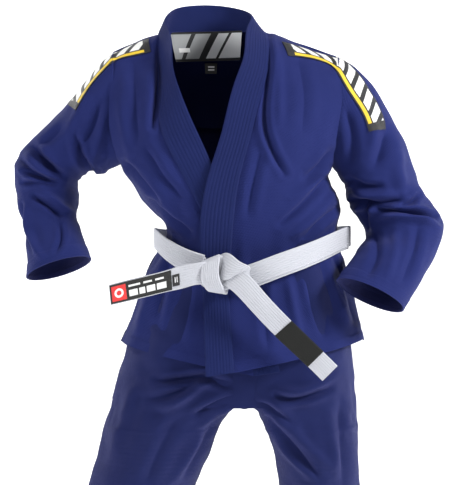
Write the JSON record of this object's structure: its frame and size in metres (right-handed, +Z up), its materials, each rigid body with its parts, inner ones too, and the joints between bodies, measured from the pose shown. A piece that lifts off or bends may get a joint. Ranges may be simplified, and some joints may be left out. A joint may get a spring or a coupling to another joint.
{
  "type": "martial arts uniform",
  "caption": "Crossed-front jacket, long trousers and a belt tied at the waist, standing as worn, with open neck, sleeves and trouser legs",
  "frame": {"origin": "centre of the neck opening, at the level of the collar's lower seam", "axes": "+Z up, the front faces -Y, +X is the wearer's left"},
  "size_m": [0.8125, 0.3242, 1.4573],
  "materials": {
    "cloth_jacket": "pearl weave cotton, navy blue with a faint violet sheen",
    "cloth_trousers": "ripstop cotton, navy blue",
    "belt_cotton": "stitched white cotton",
    "patch_cloth": "woven black tape with white and yellow print",
    "label_cloth": "woven satin label",
    "rank_bar": "black cotton",
    "lining": "navy cotton lining"
  },
  "bodies": {
    "root": {"belt_back": "belt_cotton", "belt_front_left": "belt_cotton", "belt_front_right": "belt_cotton", "belt_knot": "belt_cotton", "belt_knot_wrap": "belt_cotton", "collar_back": "cloth_jacket", "jacket_back": "cloth_jacket", "jacket_front_left": "cloth_jacket", "jacket_front_right": "cloth_jacket", "lapel_left": "cloth_jacket", "lapel_right": "cloth_jacket", "neck_label": "label_cloth", "neck_size_tag": "patch_cloth", "shoulder_patch_left": "patch_cloth", "shoulder_patch_right": "patch_cloth", "sleeve_left_head": "cloth_jacket", "sleeve_right_head": "cloth_jacket", "trousers_crotch_gusset": "cloth_trousers", "trousers_left_top": "cloth_trousers", "trousers_right_top": "cloth_trousers", "trousers_seat": "cloth_trousers", "trousers_waistband": "cloth_trousers", "yoke_lining": "lining"},
    "skirt_front": {"skirt_front_left": "cloth_jacket", "skirt_front_right": "cloth_jacket", "lapel_left_skirt": "cloth_jacket", "lapel_right_skirt": "cloth_jacket"},
    "skirt_back": {"skirt_back": "cloth_jacket"},
    "belt_end_left": {"belt_tail_left": "belt_cotton", "belt_label": "patch_cloth", "belt_size_tag": "patch_cloth"},
    "belt_end_right": {"belt_tail_right": "belt_cotton", "belt_rank_bar": "rank_bar"},
    "upper_arm_left": {"sleeve_left_upper": "cloth_jacket"},
    "forearm_left": {"sleeve_left_forearm": "cloth_jacket", "cuff_tape_left": "cloth_jacket"},
    "thigh_left": {"trousers_left_thigh": "cloth_trousers", "knee_patch_left": "cloth_trousers"},
    "shin_left": {"trousers_left_shin": "cloth_trousers", "ankle_hem_left": "cloth_trousers"},
    "upper_arm_right": {"sleeve_right_upper": "cloth_jacket"},
    "forearm_right": {"sleeve_right_forearm": "cloth_jacket", "cuff_tape_right": "cloth_jacket"},
    "thigh_right": {"trousers_right_thigh": "cloth_trousers", "knee_patch_right": "cloth_trousers"},
    "shin_right": {"trousers_right_shin": "cloth_trousers", "ankle_hem_right": "cloth_trousers"}
  },
  "joints": [
    {"name": "shoulder_left", "type": "hinge", "parent": "root", "child": "upper_arm_left", "pos_m": [0.229, 0.004, -0.1408], "axis": [0, 1, 0], "range_deg": [-50, 0]},
    {"name": "elbow_left", "type": "hinge", "parent": "upper_arm_left", "child": "forearm_left", "pos_m": [0.3329, 0.014, -0.3024], "axis": [0, 1, 0], "range_deg": [-30, 0]},
    {"name": "shoulder_right", "type": "hinge", "parent": "root", "child": "upper_arm_right", "pos_m": [-0.1662, 0.004, -0.1408], "axis": [0, 1, 0], "range_deg": [-8, 50]},
    {"name": "elbow_right", "type": "hinge", "parent": "upper_arm_right", "child": "forearm_right", "pos_m": [-0.2762, 0.02, -0.2742], "axis": [0, 1, 0], "range_deg": [-25, 30]},
    {"name": "hip_left", "type": "hinge", "parent": "root", "child": "thigh_left", "pos_m": [0.0189, 0, -0.5613], "axis": [1, 0, 0], "range_deg": [-25, 15]},
    {"name": "hip_right", "type": "hinge", "parent": "root", "child": "thigh_right", "pos_m": [0.0189, 0, -0.5613], "axis": [1, 0, 0], "range_deg": [-25, 15]},
    {"name": "knee_left", "type": "hinge", "parent": "thigh_left", "child": "shin_left", "pos_m": [0.2383, 0, -1.0249], "axis": [1, 0, 0], "range_deg": [0, 50]},
    {"name": "knee_right", "type": "hinge", "parent": "thigh_right", "child": "shin_right", "pos_m": [-0.1681, 0, -1.0249], "axis": [1, 0, 0], "range_deg": [0, 50]},
    {"name": "skirt_front_swing", "type": "hinge", "parent": "root", "child": "skirt_front", "pos_m": [0, -0.132, -0.438], "axis": [1, 0, 0], "range_deg": [-2.5, 0]},
    {"name": "skirt_back_swing", "type": "hinge", "parent": "root", "child": "skirt_back", "pos_m": [0, 0.108, -0.41], "axis": [1, 0, 0], "range_deg": [0, 10]},
    {"name": "belt_end_left_swing", "type": "hinge", "parent": "skirt_front", "child": "belt_end_left", "pos_m": [-0.006, -0.179, -0.4435], "axis": [0, 1, 0], "range_deg": [-50, 10]},
    {"name": "belt_end_right_swing", "type": "hinge", "parent": "skirt_front", "child": "belt_end_right", "pos_m": [0.058, -0.179, -0.4497], "axis": [0, 1, 0], "range_deg": [-15, 40]}
  ]
}
